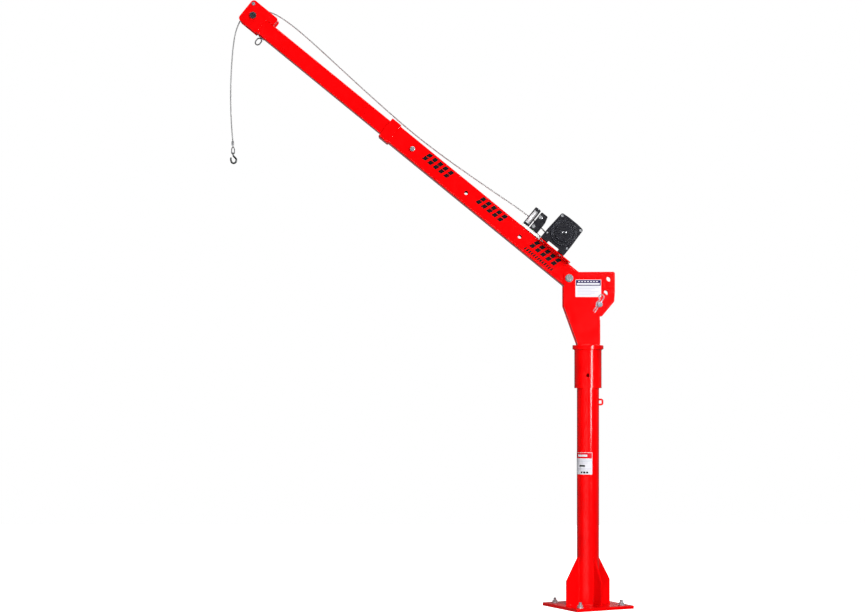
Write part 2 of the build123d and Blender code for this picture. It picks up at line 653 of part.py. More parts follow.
def make_motor():
    face = MOTOR_BRACKET_OUT
    can_end = MOTOR_END - END_CAP_T
    can = boom_rod(MOTOR_R, face, can_end, DRUM_U, DRUM_V)
    can -= boom_rod(MOTOR_R - MOTOR_WALL, face + 4, can_end + 1, DRUM_U, DRUM_V)
    can -= boom_rod(SHAFT_R + 2, face - 1, face + 6, DRUM_U, DRUM_V)
    save_boom("winch_motor_can", can)
    cap = boom_rod(MOTOR_R + 1, can_end, MOTOR_END, DRUM_U, DRUM_V)
    cap = fillet(cap.edges().group_by(Axis.Y)[-1], 5)
    save_boom("winch_motor_end_cap", cap)
    core = boom_rod(26, face + 20, MOTOR_END - 28, DRUM_U, DRUM_V)
    core -= boom_rod(SHAFT_R, face, MOTOR_END, DRUM_U, DRUM_V)
    save_boom("motor_armature", core)


def make_terminals():
    """Two cable studs with rubber boots on the motor."""
    studs = []
    for y in (92, 122):
        stud = boom_rod_z(4, DRUM_V + MOTOR_R - 2, DRUM_V + MOTOR_R + 14, DRUM_U, y)
        boot = boom_rod_z(8, DRUM_V + MOTOR_R, DRUM_V + MOTOR_R + 10, DRUM_U, y)
        studs.append(stud + boot - boom_rod(MOTOR_R, 80, 140, DRUM_U, DRUM_V))
    save_boom("motor_terminals", Compound(studs))


def make_drum():
    half = DRUM_HALF
    drum = boom_rod(DRUM_CORE_R, -half, half, DRUM_U, DRUM_V)
    for side in (-1, 1):
        y0, y1 = sorted((side * (half - DRUM_FLANGE_T), side * half))
        drum += boom_rod(DRUM_FLANGE_R, y0, y1, DRUM_U, DRUM_V)
        y0, y1 = sorted((side * half, side * (half + DRUM_JOURNAL_L)))
        drum += boom_rod(DRUM_JOURNAL_R, y0, y1, DRUM_U, DRUM_V)
    end = half + DRUM_JOURNAL_L + 1
    drum -= boom_rod(SHAFT_R + BUSH_GAP, -end, end, DRUM_U, DRUM_V)
    save_boom("winch_drum", drum)
    pack = boom_rod(PACK_R, -half + DRUM_FLANGE_T, half - DRUM_FLANGE_T, DRUM_U, DRUM_V)
    pack -= boom_rod(DRUM_CORE_R, -half, half, DRUM_U, DRUM_V)
    save_boom("rope_on_drum", pack)


def make_drum_bushes():
    """Plain bearings for the drum's ends, one in each bracket."""
    bushes = []
    for y0, y1 in ((-HOUSING_IN - 8.7, -HOUSING_IN), (HOUSING_IN, HOUSING_IN + 8.7)):
        bush = boom_rod(BUSH_R, y0, y1, DRUM_U, DRUM_V)
        bushes.append(bush - boom_rod(DRUM_JOURNAL_R + BUSH_GAP, y0 - 1, y1 + 1, DRUM_U, DRUM_V))
    save_boom("drum_bushes", Compound(bushes))


def make_drive_shaft():
    """The motor's shaft, which runs through the drum."""
    save_boom("drive_shaft", boom_rod(SHAFT_R, -GEARBOX_OUT + 14, MOTOR_END - 20, DRUM_U, DRUM_V))


def make_tie_rods():
    """The two rods that join the end brackets, above the drum."""
    end = HOUSING_IN + TIE_DEEP
    rods = [boom_rod(TIE_R, -end, end, u, v) for u, v in TIE_PLACES]
    save_boom("winch_tie_rods", Compound(rods))


# ---------------------------------------------------------------- fairlead
def make_front_frame():
    """The frame of the two upright rollers."""
    u0, u1, low, high = FRONT_FROM, FRONT_TO, FRONT_OPEN_LOW, FRONT_OPEN_TOP
    frame = boom_block(u0, u1, -FRAME_Y, FRAME_Y, FRAME_LOW, FRAME_TOP)
    frame -= boom_block(u0 - 1, u1 + 1, -FRAME_Y + 8, FRAME_Y - 8, low, high)
    frame -= boom_block(u0 + 3, u1 - 3, -FRAME_Y - 1, FRAME_Y + 1, low, high)
    for side in (-1, 1):
        frame -= boom_rod_z(ROLLER_BORE_R, FRAME_LOW - 1, FRAME_TOP + 1, FRONT_U, side * FRONT_Y)
    save_boom("fairlead_front_frame", frame)


def make_rear_frame():
    """The frame of the two level rollers, on a strip from the winch's feet."""
    low, high = FRAME_LOW, FRAME_TOP - 1
    profile = [(REAR_FROM, low), (REAR_TO, low), (REAR_TO, high), (206, high), (REAR_FROM, 101)]
    frame = boom_plate(profile, [2, 2, 4, 4, 3], -FRAME_Y, FRAME_Y)
    inside = FRAME_Y - REAR_WALL
    frame -= boom_block(REAR_FROM - 1, REAR_TO + 1, -inside, inside, low + 4, high - 5)
    frame += boom_block(181, REAR_FROM + 0.7, -30, 30, low, low + 3.5)
    for v in (REAR_LOW, REAR_HIGH):
        frame -= boom_rod(ROLLER_BORE_R, -FRAME_Y - 1, FRAME_Y + 1, REAR_U, v)
    save_boom("fairlead_rear_frame", frame)


def make_rollers():
    bore = ROLLER_BORE_R + BUSH_GAP
    low, high = FRONT_OPEN_LOW + ROLLER_GAP, FRONT_OPEN_TOP - ROLLER_GAP
    for name, side in (("near", -1), ("far", 1)):
        roller = boom_rod_z(ROLLER_R, low, high, FRONT_U, side * FRONT_Y)
        roller = chamfer(roller.edges(), 1.2)
        roller -= boom_rod_z(bore, low - 1, high + 1, FRONT_U, side * FRONT_Y)
        save_boom(f"fairlead_roller_{name}", roller)
    reach = FRAME_Y - REAR_WALL - ROLLER_GAP
    for name, v in (("lower", REAR_LOW), ("upper", REAR_HIGH)):
        roller = boom_rod(ROLLER_R, -reach, reach, REAR_U, v)
        roller = chamfer(roller.edges(), 1.2)
        roller -= boom_rod(bore, -FRAME_Y, FRAME_Y, REAR_U, v)
        save_boom(f"fairlead_roller_{name}", roller)


def make_roller_axles():
    axles = []
    top = FRAME_TOP + AXLE_HEAD_T
    end = FRAME_Y + AXLE_HEAD_T
    for side in (-1, 1):
        pin = boom_rod_z(ROLLER_BORE_R, FRAME_LOW, top, FRONT_U, side * FRONT_Y)
        head = boom_rod_z(6.5, FRAME_TOP, top, FRONT_U, side * FRONT_Y)
        axles.append(pin + head)
    for v in (REAR_LOW, REAR_HIGH):
        pin = boom_rod(ROLLER_BORE_R, -end, end, REAR_U, v)
        pin += boom_hex(13, -end, -FRAME_Y, REAR_U, v)
        pin += boom_hex(13, FRAME_Y, end, REAR_U, v)
        axles.append(pin)
    save_boom("roller_axles", Compound(axles))


# ---------------------------------------------------------------- rope and hook
def sheave_point(angle):
    """A point of the rope's circle on the sheave, in boom places."""
    turn = math.radians(angle)
    u = SHEAVE_U + ROPE_PATH_R * math.cos(turn)
    v = SHEAVE_V + ROPE_PATH_R * math.sin(turn)
    return (-u, 0, v)


def report_cord(name, points, radii, solid):
    """Print a route's arcs, and its volume against section times length."""
    length = FilletPolyline(*points, radius=radii).length
    ratio = solid.volume / (math.pi * ROPE_R ** 2 * length)
    print(name, "radii", [round(r) for r in radii], "length", round(length, 1),
          "volume ratio", round(ratio, 4))


def make_rope_run():
    points = [(-u, 0, v) for u, v in RUN_POINTS] + [sheave_point(ROPE_OFF_ANGLE + 0.8)]
    radii = cord_radii(points)
    rope = wire_rod(points, radii, ROPE_R)
    report_cord("rope_run", points, radii, rope)
    save_boom("rope_run", rope)


def make_rope_fall():
    """The rope round the sheave and down to the hook."""
    on = [BOOM_PLACE * Pos(*sheave_point(a)) for a in (ROPE_OFF_ANGLE, 0)]
    first, last = (place.position for place in on)
    middle = (BOOM_PLACE * Pos(*sheave_point(ROPE_OFF_ANGLE / 2))).position
    hanging = [tuple(last)] + [(x, 0, z) for x, z in FALL_POINTS]
    radii = cord_radii(hanging)
    over = ThreePointArc(first, middle, last)
    under = FilletPolyline(*hanging, radius=radii)
    path = Wire(over.edges() + under.edges())
    start = Plane(origin=over @ 0, z_dir=over % 0)
    rope = sweep(start * Circle(ROPE_R), path=path)
    print("rope_fall radii", [round(r) for r in radii], "length", round(path.length, 1),
          "volume ratio", round(rope.volume / (math.pi * ROPE_R ** 2 * path.length), 4))
    save("rope_fall", rope)


def make_rope_end():
    """The pressed ferrule and the thimble that the hook hangs in."""
    x, z = HOOK_X, HOOK_Z
    ferrule = rod_z(FERRULE_R, z + 28, z + 44, x - 1, 0)
    save("rope_ferrule", fillet(ferrule.edges(), 1))
    loop = [(x - 5.4, 0, z + 14), (x - 5.4, 0, z - 3.4), (x + 5.4, 0, z - 3.4),
            (x + 5.4, 0, z + 14), (x, 0, z + 25.7)]
    path = FilletPolyline(*loop, radius=[8, 5.3, 5.3, 8, 1.5], close=True)
    start = Plane(origin=path @ 0, z_dir=path % 0)
    save("rope_thimble", sweep(start * Circle(THIMBLE_R), path=path))


def make_hook():
    """The load hook: a cross eye in the thimble, a back, a bowl and a tip."""
    x, z = HOOK_X, HOOK_Z
    points = [(x + 0.5, 0, z - 10.4), (x + 7, 0, z - 17), (x + 13, 0, z - 24), (x + 11, 0, z - 34),
              (x + 3, 0, z - 40), (x - 5, 0, z - 36), (x - 8.5, 0, z - 26), (x - 8, 0, z - 20)]
    shank = wire_rod(points, [4, 6, 8, 8, 6, 6], HOOK_BAR_R)
    shank += Pos(*points[-1]) * Sphere(HOOK_BAR_R)
    eye = Pos(x, 0, z - 4.3) * Rot(0, 90, 0) * Torus(5.2, 2)
    save("load_hook", shank + eye)


def main():
    make_base_plate()
    make_gussets()
    make_post()
    make_hook_keeper()
    make_post_label()
    make_sleeve()
    make_cheeks()
    make_head_webs()
    make_data_plate()
    make_pivot_bolt()
    make_lift_pin()
    make_outer_boom()
    make_slide_pads()
    make_extension_pin()
    make_inner_boom()
    make_nose_cheeks()
    make_nose_hardware()
    make_sheave()
    make_nose_eye()
    make_winch_mount()
    make_foot_bolts()
    make_end_brackets()
    make_gear_cover()
    make_clutch_dial()
    make_cover_screws()
    make_motor()
    make_terminals()
    make_drum()
    make_drum_bushes()
    make_drive_shaft()
    make_tie_rods()
    make_front_frame()
    make_rear_frame()
    make_rollers()
    make_roller_axles()
    make_rope_run()
    make_rope_fall()
    make_rope_end()
    make_hook()


main()
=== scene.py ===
"""The looks of a bolt-down swivel jib hoist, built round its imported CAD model.

Everything is in metres, in the CAD model's frame: the origin is under the middle
of the base plate, +Z runs up the post and the boom reaches out along -X.
Boom places are written (u, y, v): u runs from the pivot bolt towards the nose,
y across the boom and v square to the boom.
"""

import json
import math

import bmesh
import bpy
from mathutils import Matrix, Vector


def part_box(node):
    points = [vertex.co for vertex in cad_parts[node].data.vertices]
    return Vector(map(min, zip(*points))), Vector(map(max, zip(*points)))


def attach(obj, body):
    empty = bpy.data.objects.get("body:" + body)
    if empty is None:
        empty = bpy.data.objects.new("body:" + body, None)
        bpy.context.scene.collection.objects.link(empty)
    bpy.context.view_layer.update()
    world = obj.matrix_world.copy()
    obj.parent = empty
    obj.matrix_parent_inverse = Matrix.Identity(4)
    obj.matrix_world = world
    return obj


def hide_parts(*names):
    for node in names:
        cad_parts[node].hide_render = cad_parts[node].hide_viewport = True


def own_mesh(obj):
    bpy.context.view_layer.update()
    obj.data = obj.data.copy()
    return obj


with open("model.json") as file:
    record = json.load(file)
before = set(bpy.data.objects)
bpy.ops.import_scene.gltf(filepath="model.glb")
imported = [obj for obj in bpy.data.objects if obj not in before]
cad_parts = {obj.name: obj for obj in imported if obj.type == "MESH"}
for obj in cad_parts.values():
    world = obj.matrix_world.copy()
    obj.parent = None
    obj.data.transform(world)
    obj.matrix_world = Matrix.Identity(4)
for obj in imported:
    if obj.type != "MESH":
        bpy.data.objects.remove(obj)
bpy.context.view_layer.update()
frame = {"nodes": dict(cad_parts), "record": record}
NODES = frame["nodes"]

MM = 0.001
TURN = 2 * math.pi

# ------------------------------------------------------------------ sizes, millimetres
BOOM_ANGLE = math.radians(39.2)
PIVOT = Vector((-73.5, 0, 1231)) * MM
PLATE_TURN = math.radians(27.5)
PLATE_T = 12
ANCHOR_OFFSET = 90
POST_R = 41.5
GUSSET_T = 6
GUSSET_REACH = 95
GUSSET_TOP = 177
SLEEVE_R = 51
SLEEVE_TOP = 966
FLANGE_TOP = 982
CHEEK_OUT = 45
CHEEK_IN = 39
WEB_WELD_X = 41
WEB_TOP = 1080
BOOM_MID = 4.5
OUTER_HALF = 37.5
INNER_HALF = 30
COLLAR_FROM = 847
COLLAR_CORNER = 7
STAGE_HOLES = (240.75, 499, 757)
SHEAVE = (1534, 15)
ROPE_PATH_R = 32
DRUM = (122.5, 113.5)
PACK_R = 38.4
DRUM_HALF = 33
CORE_R = 24.2
GEAR_FACE = -96
MOTOR_R = 34
MOTOR_END = 160

ROPE_R = 2.5
ROPE_LAY = 32
STRANDS = 6
STRAND_R = 0.86
ROPE_STEP = 3.2

# The slack rope from under the drum to the sheave, as (u, v).
RUN_POINTS = (
    (129, 73.1), (215, 87), (262, 87.6), (322, 85.2), (392, 78.4),
    (462, 72.6), (532, 67.2), (602, 62.1), (674, 58.2), (746, 55.7),
    (820, 55.3), (892, 57.6), (966, 60.7), (1040, 64.4), (1112, 68.4),
    (1184, 72.9), (1254, 77.3), (1322, 80.6), (1388, 82.2), (1448, 79.4),
    (1500, 70),
)
# The rope below the nose, as (X, Z).
FALL_POINTS = (
    (-1306.1, 2197.5), (-1321.5, 2158), (-1330.2, 2106), (-1335.4, 2046),
    (-1339, 1980), (-1340.4, 1912), (-1338.8, 1846), (-1335.6, 1788),
    (-1332, 1748),
)
ROPE_MEETS_SHEAVE = 60.3    # degrees from the nose side
# The rope's controls over the sheave, as (degrees from the nose side, radius).
SHEAVE_POINTS = ((59.5, ROPE_PATH_R), (44.6, 33.1), (14.9, 33.1))
ROPE_DROPS_V = 6.5
ROPE_LEAVES_DRUM = math.radians(9.2)     # from the underside towards the nose

ALONG = Vector((-math.cos(BOOM_ANGLE), 0, math.sin(BOOM_ANGLE)))
SQUARE = Vector((math.sin(BOOM_ANGLE), 0, math.cos(BOOM_ANGLE)))
ACROSS = Vector((0, 1, 0))
LEVEL = Vector((1, 0, 0))
UP = Vector((0, 0, 1))


def place(x, y, z):
    """A point given in millimetres."""
    return Vector((x, y, z)) * MM


def boom(u, y, v):
    """A boom place (u, y, v) as a point in the CAD model's frame."""
    return PIVOT + (ALONG * u + ACROSS * y + SQUARE * v) * MM


def sheave_point(angle, radius=ROPE_PATH_R):
    """A place on a circle round the sheave's axle, angle in degrees from the nose side."""
    turn = math.radians(angle)
    return boom(SHEAVE[0] + radius * math.cos(turn), 0, SHEAVE[1] + radius * math.sin(turn))


# ------------------------------------------------------------------ camera
CAMERA_PLACE = (-0.583, -7.2, 0.859)
CAMERA_LENS = 79.9
CAMERA_SHIFT_Y = 0.0815


def make_camera():
    """A long lens at mid height, level and square to the boom's side."""
    data = bpy.data.cameras.new("camera")
    data.lens = CAMERA_LENS
    data.shift_y = CAMERA_SHIFT_Y
    data.clip_end = 100
    camera = bpy.data.objects.new("camera", data)
    camera.location = CAMERA_PLACE
    camera.rotation_euler = (math.radians(90), 0, 0)
    bpy.context.scene.collection.objects.link(camera)
    bpy.context.scene.camera = camera


# ------------------------------------------------------------------ materials
class Graph:
    """A small helper that adds and joins shader nodes."""

    def __init__(self, name):
        self.material = bpy.data.materials.new(name)
        self.material.use_nodes = True
        self.tree = self.material.node_tree
        self.shader = self.tree.nodes["Principled BSDF"]

    def add(self, kind, settings=None, **inputs):
        """A new node. Inputs are values or other nodes' outputs, by socket name."""
        node = self.tree.nodes.new("ShaderNode" + kind)
        for key, value in (settings or {}).items():
            setattr(node, key, value)
        for key, value in inputs.items():
            self.set(node, key.replace("_", " "), value)
        return node

    def set(self, node, socket, value):
        """Give a socket a value, or join it to an output."""
        target = node.inputs[int(socket) if socket.isdigit() else socket]
        if isinstance(value, bpy.types.NodeSocket):
            self.tree.links.new(value, target)
        else:
            target.default_value = value

    def math(self, operation, first, second=0.0):
        """The result of a sum on two values or outputs."""
        node = self.add("Math", {"operation": operation})
        self.set(node, "0", first)
        self.set(node, "1", second)
        return node.outputs[0]

    def noise(self, scale, detail=2.0, roughness=0.5):
        """A noise value in the object's own space."""
        spot = self.add("TexCoord").outputs["Object"]
        node = self.add("TexNoise", Vector=spot, Scale=scale, Detail=detail, Roughness=roughness)
        return node.outputs["Fac"]

    def span(self, value, low, high, start=0.0, end=1.0):
        """The value rescaled from start..end to low..high."""
        node = self.add("MapRange", Value=value)
        self.set(node, "From Min", start)
        self.set(node, "From Max", end)
        self.set(node, "To Min", low)
        self.set(node, "To Max", high)
        return node.outputs[0]

    def mix(self, share, first, second):
        """A colour between two, by share."""
        node = self.add("Mix", {"data_type": "RGBA"})
        self.set(node, "0", share)
        self.set(node, "6", first)
        self.set(node, "7", second)
        return node.outputs[2]

    def edge_mask(self, radius):
        """About 1 on sharp outer edges and 0 on flats."""
        rounded = self.add("Bevel", {"samples": 4}, Radius=radius).outputs[0]
        normal = self.add("NewGeometry").outputs["Normal"]
        dot = self.add("VectorMath", {"operation": "DOT_PRODUCT"})
        self.set(dot, "0", rounded)
        self.set(dot, "1", normal)
        return rounded, self.span(dot.outputs["Value"], 1.0, 0.0, 0.82, 0.995)

    def bump(self, height, strength, distance, normal=None):
        """A normal roughened by a height value."""
        node = self.add("Bump", Strength=strength, Distance=distance, Height=height)
        if normal is not None:
            self.set(node, "Normal", normal)
        return node.outputs[0]

    def finish(self, colour, rough, normal=None, metal=0.0):
        """Join the shader up and give the material back."""
        shader = self.shader
        self.set(shader, "Base Color", colour)
        self.set(shader, "Roughness", rough)
        self.set(shader, "Metallic", metal)
        if normal is not None:
            self.set(shader, "Normal", normal)
        return self.material


def rgb(red, green, blue):
    """An opaque colour."""
    return (red, green, blue, 1.0)


RED = rgb(0.83, 0.0012, 0.0018)
RED_DEEP = rgb(0.68, 0.0006, 0.0012)
# Painted shade: a darker red put along the paint's edges.
RED_PAINTED_EDGE_SHADE = rgb(0.5, 0.0008, 0.002)


def make_red_paint():
    """Glossy powder coat: a faint orange peel, and a darker red painted along the edges as shade."""
    g = Graph("red_paint")
    rounded, edge = g.edge_mask(0.0012)
    cloud = g.noise(9, 3)
    colour = g.mix(g.span(cloud, 0, 1, 0.35, 0.65), RED, RED_DEEP)
    # The edges are mixed towards the darker red as painted shade.
    colour = g.mix(g.math("MULTIPLY", edge, 0.7), colour, RED_PAINTED_EDGE_SHADE)
    rough = g.span(g.noise(55, 4), 0.11, 0.2, 0.3, 0.7)
    peel = g.bump(g.noise(420, 2), 0.05, 0.0004, rounded)
    g.shader.inputs["Specular IOR Level"].default_value = 0.22
    return g.finish(colour, rough, peel)


def make_black_paint():
    """Satin black paint on pressed steel, grey along its edges as rubbed wear and as a painted
    highlight.
    """
    g = Graph("black_paint")
    rounded, edge = g.edge_mask(0.0008)
    colour = g.mix(g.noise(40, 3), rgb(0.006, 0.006, 0.008), rgb(0.014, 0.014, 0.018))
    # Grey along the edges: partly rubbed wear, partly a painted highlight that shows the shapes.
    edge_wear_and_highlight = g.math("MULTIPLY", edge, g.span(g.noise(140, 4), 0, 0.6, 0.4, 0.6))
    colour = g.mix(edge_wear_and_highlight, colour, rgb(0.16, 0.16, 0.18))
    rough = g.span(g.noise(90, 4), 0.26, 0.44, 0.3, 0.7)
    g.shader.inputs["Specular IOR Level"].default_value = 0.18
    return g.finish(colour, rough, g.bump(g.noise(700, 2), 0.12, 0.0004, rounded))


def make_black_casting():
    """Black painted die casting: fine grit, with bright corners that are partly rubbed wear and
    partly a painted glint.
    """
    g = Graph("black_casting")
    rounded, edge = g.edge_mask(0.0009)
    colour = g.mix(g.noise(60, 4), rgb(0.006, 0.006, 0.008), rgb(0.014, 0.014, 0.019))
    edge_wear_and_highlight = g.math("MULTIPLY", edge, g.span(g.noise(210, 5), 0.1, 0.75, 0.38, 0.62))
    # A pale bluish edge colour: painted glints on the rims, as well as rubbed wear.
    colour = g.mix(edge_wear_and_highlight, colour, rgb(0.42, 0.44, 0.5))
    rough = g.span(g.noise(160, 4), 0.2, 0.4, 0.3, 0.7)
    grit = g.math("ADD", g.noise(900, 3), g.math("MULTIPLY", g.noise(240, 2), 0.6))
    g.shader.inputs["Specular IOR Level"].default_value = 0.16
    return g.finish(colour, rough, g.bump(grit, 0.12, 0.0005, rounded))


def make_plated(name, colour, darker, painted_edge_highlight, rough, scale, metal=1.0):
    """Bright plated steel with faint cloudy patches, and a painted highlight along its edges."""
    g = Graph(name)
    rounded, edge = g.edge_mask(0.0006)
    base = g.mix(g.span(g.noise(scale, 4), 0, 1, 0.3, 0.7), colour, darker)
    # Painted highlight: the edges are mixed towards a lighter colour.
    base = g.mix(g.math("MULTIPLY", edge, 0.4), base, painted_edge_highlight)
    blur = g.span(g.noise(scale * 4, 3), rough - 0.06, rough + 0.08, 0.3, 0.7)
    return g.finish(base, blur, g.bump(g.noise(scale * 12, 2), 0.06, 0.0003, rounded), metal)


def make_zinc():
    """Bright zinc on bolts, nuts and clips."""
    colour, darker, painted_edge_highlight = rgb(0.5, 0.51, 0.53), rgb(0.3, 0.305, 0.32), rgb(0.45, 0.46, 0.48)
    return make_plated("zinc", colour, darker, painted_edge_highlight, 0.24, 60, 0.6)


def make_dark_steel():
    """Oiled dark steel on the drum, the sheave, the shafts and the hook."""
    colour, darker, painted_edge_highlight = rgb(0.1, 0.105, 0.1), rgb(0.05, 0.055, 0.05), rgb(0.3, 0.3, 0.3)
    return make_plated("dark_steel", colour, darker, painted_edge_highlight, 0.4, 90)


def make_galvanised():
    """Hot-dip galvanising, duller than bright zinc, for a few small pieces."""
    colour, darker, painted_edge_highlight = rgb(0.2, 0.2, 0.2), rgb(0.12, 0.12, 0.12), rgb(0.26, 0.26, 0.26)
    return make_plated("galvanised", colour, darker, painted_edge_highlight, 0.42, 90, 0.5)


def make_brushed():
    """Turned steel on the fairlead's rollers, with a fine matt grain."""
    g = Graph("roller_steel")
    rounded, _ = g.edge_mask(0.0006)
    fine = g.noise(1500, 2, 0.7)
    base = g.mix(g.noise(50, 4), rgb(0.82, 0.82, 0.83), rgb(0.66, 0.66, 0.68))
    blur = g.span(fine, 0.38, 0.55, 0.3, 0.7)
    return g.finish(base, blur, g.bump(fine, 0.08, 0.0002, rounded), metal=0.3)


def make_rope_steel():
    """Galvanised wire: pale grey wires, darker down between the strands."""
    g = Graph("rope_steel")
    wires = g.noise(1600, 2, 0.6)
    base = g.mix(g.span(wires, 0, 1, 0.35, 0.65), rgb(0.34, 0.34, 0.34), rgb(0.27, 0.27, 0.27))
    blur = g.span(g.noise(300, 2), 0.32, 0.5, 0.3, 0.7)
    return g.finish(base, blur, g.bump(wires, 0.25, 0.0002), metal=0.2)


def make_bronze():
    """The slew and drum bushes and the thrust washer."""
    g = Graph("bronze")
    base = g.mix(g.noise(80, 4), rgb(0.55, 0.33, 0.13), rgb(0.36, 0.2, 0.08))
    return g.finish(base, g.span(g.noise(200, 3), 0.28, 0.45), g.bump(g.noise(600), 0.1, 0.0003), 1.0)


def make_nylon():
    """The boom's slide pads, a little translucent."""
    g = Graph("white_nylon")
    base = g.mix(g.noise(70, 3), rgb(0.8, 0.79, 0.74), rgb(0.66, 0.65, 0.6))
    g.shader.inputs["Subsurface Weight"].default_value = 0.1
    return g.finish(base, g.span(g.noise(240, 3), 0.38, 0.55), g.bump(g.noise(500), 0.1, 0.0003))


def make_rubber():
    """The boots on the motor's terminals."""
    g = Graph("black_rubber")
    base = g.mix(g.noise(90, 3), rgb(0.012, 0.012, 0.013), rgb(0.03, 0.03, 0.031))
    return g.finish(base, g.span(g.noise(300, 3), 0.5, 0.72), g.bump(g.noise(800), 0.2, 0.0003))


def make_print(name, colour, darker):
    """Ink or film on a printed sheet, with a faint print grain under a gloss laminate."""
    g = Graph(name)
    base = g.mix(g.span(g.noise(900, 3), 0, 1, 0.35, 0.65), colour, darker)
    blur = g.span(g.noise(60, 3), 0.3, 0.44, 0.3, 0.7)
    g.shader.inputs["Specular IOR Level"].default_value = 0.08
    return g.finish(base, blur, g.bump(g.noise(260, 2), 0.04, 0.0003))


MATERIALS = {
    "red_paint": make_red_paint(),
    "black_paint": make_black_paint(),
    "black_casting": make_black_casting(),
    "zinc": make_zinc(),
    "dark_steel": make_dark_steel(),
    "roller_steel": make_brushed(),
    "rope_steel": make_rope_steel(),
    "bronze": make_bronze(),
    "white_nylon": make_nylon(),
    "black_rubber": make_rubber(),
    "label_print": make_print("label_print", rgb(0.6, 0.6, 0.63), rgb(0.53, 0.53, 0.57)),
}
INKS = {
    "ink_red": make_print("ink_red", rgb(0.6, 0.006, 0.012), rgb(0.5, 0.004, 0.01)),
    "ink_navy": make_print("ink_navy", rgb(0.012, 0.008, 0.06), rgb(0.02, 0.014, 0.09)),
    "ink_grey": make_print("ink_grey", rgb(0.42, 0.43, 0.5), rgb(0.36, 0.37, 0.44)),
    "ink_black": make_print("ink_black", rgb(0.004, 0.004, 0.005), rgb(0.008, 0.008, 0.009)),
}
INKS["white"] = MATERIALS["label_print"]
GALVANISED = make_galvanised()
GALVANISED_NODES = ("rope_thimble", "rope_ferrule", "nose_eye")


def paint_cad_nodes():
    """Give every CAD node the material of its slot."""
    for part in frame["record"]["subparts"]:
        node = NODES[part["node"]]
        node.data.materials.clear()
        dull = part["node"] in GALVANISED_NODES
        node.data.materials.append(GALVANISED if dull else MATERIALS[part["material_slot"]])


# ------------------------------------------------------------------ mesh tools
def add_piece(name, mesh, slot, body, material=None, smooth=True):
    """A new object that wears a material, picked by its slot unless one is given, and rides on a
    body.
    """
    if isinstance(mesh, bmesh.types.BMesh):
        data = bpy.data.meshes.new(name)
        bmesh.ops.recalc_face_normals(mesh, faces=mesh.faces)
        mesh.to_mesh(data)
        mesh.free()
        mesh = data
    for polygon in mesh.polygons:
        polygon.use_smooth = smooth
    piece = bpy.data.objects.new(name, mesh)
    if not mesh.materials:
        mesh.materials.append(material or MATERIALS[slot])
    bpy.context.scene.collection.objects.link(piece)
    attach(piece, body)
    return piece


def frames_along(points, closed=False):
    """The tangent and two side directions at each point, turned as little as possible."""
    count = len(points)
    tangents = []
    for i in range(count):
        before = points[i - 1] if closed or i > 0 else points[i]
        after = points[(i + 1) % count] if closed or i < count - 1 else points[i]
        tangents.append((after - before).normalized())
    guess = ACROSS if abs(tangents[0].dot(ACROSS)) < 0.9 else UP
    side = (guess - tangents[0] * guess.dot(tangents[0])).normalized()
    frames = []
    for i, tangent in enumerate(tangents):
        if i > 0:
            side = tangents[i - 1].rotation_difference(tangent) @ side
            side = (side - tangent * side.dot(tangent)).normalized()
        frames.append((tangent, side, tangent.cross(side)))
    return frames


def add_tube(bm, points, radius, sides=8, closed=False):
    """Sweep a ring along points. radius is in metres, or a function of the distance gone."""
    rings = []
    gone = 0.0
    frames = frames_along(points, closed)
    for i, (point, (_, side, other)) in enumerate(zip(points, frames)):
        if i > 0:
            gone += (point - points[i - 1]).length
        size = radius(gone) if callable(radius) else radius
        ring = []
        for k in range(sides):
            turn = TURN * k / sides
            ring.append(bm.verts.new(point + (side * math.cos(turn) + other * math.sin(turn)) * size))
        rings.append(ring)
    pairs = list(zip(rings, rings[1:]))
    if closed:
        pairs.append((rings[-1], rings[0]))
    for first, second in pairs:
        for k in range(sides):
            m = (k + 1) % sides
            bm.faces.new((first[k], first[m], second[m], second[k]))
    if not closed:
        bm.faces.new(rings[0])
        bm.faces.new(rings[-1])


def add_lathe(bm, profile, matrix, segments=32):
    """Turn an outline of (radius, height) in millimetres about a placed Z axis."""
    rings = []
    for radius, height in profile:
        if radius == 0:
            rings.append([bm.verts.new(matrix @ place(0, 0, height))])
            continue
        ring = []
        for k in range(segments):
            turn = TURN * k / segments
            spot = place(radius * math.cos(turn), radius * math.sin(turn), height)
            ring.append(bm.verts.new(matrix @ spot))
        rings.append(ring)
    for first, second in zip(rings, rings[1:]):
        for k in range(segments):
            m = (k + 1) % segments
            corners = [first[k % len(first)], first[m % len(first)],
                       second[m % len(second)], second[k % len(second)]]
            unique = list(dict.fromkeys(corners))
            if len(unique) > 2:
                bm.faces.new(unique)


def add_slab(bm, outline, depth):
    """A thin closed plate from an outline of points and a depth vector."""
    low = [bm.verts.new(p) for p in outline]
    high = [bm.verts.new(p + depth) for p in outline]
    count = len(outline)
    bm.faces.new(low)
    bm.faces.new(high[::-1])
    for k in range(count):
        m = (k + 1) % count
        bm.faces.new((low[k], low[m], high[m], high[k]))


def evenly(points, step):
    """The same line with points about step metres apart."""
    out = [points[0]]
    left = step
    for first, second in zip(points, points[1:]):
        length = (second - first).length
        at = left
        while at < length:
            out.append(first.lerp(second, at / length))
            at += step
        left = at - length
    if (out[-1] - points[-1]).length > step / 4:
        out.append(points[-1])
    return out


# ------------------------------------------------------------------ rope
def nurbs_line(name, controls):
    """The smooth line of a rope, as points read from a NURBS spline."""
    curve = bpy.data.curves.new(name, "CURVE")
    curve.dimensions = "3D"
    curve.resolution_u = 12
    spline = curve.splines.new("NURBS")
    spline.points.add(len(controls) - 1)
    for point, spot in zip(spline.points, controls):
        point.co = (*spot, 1)
    spline.order_u = 3
    spline.use_endpoint_u = True
    holder = bpy.data.objects.new(name, curve)
    mesh = bpy.data.meshes.new_from_object(holder)
    line = [v.co.copy() for v in mesh.vertices]
    bpy.data.meshes.remove(mesh)
    bpy.data.objects.remove(holder)
    bpy.data.curves.remove(curve)
    return line


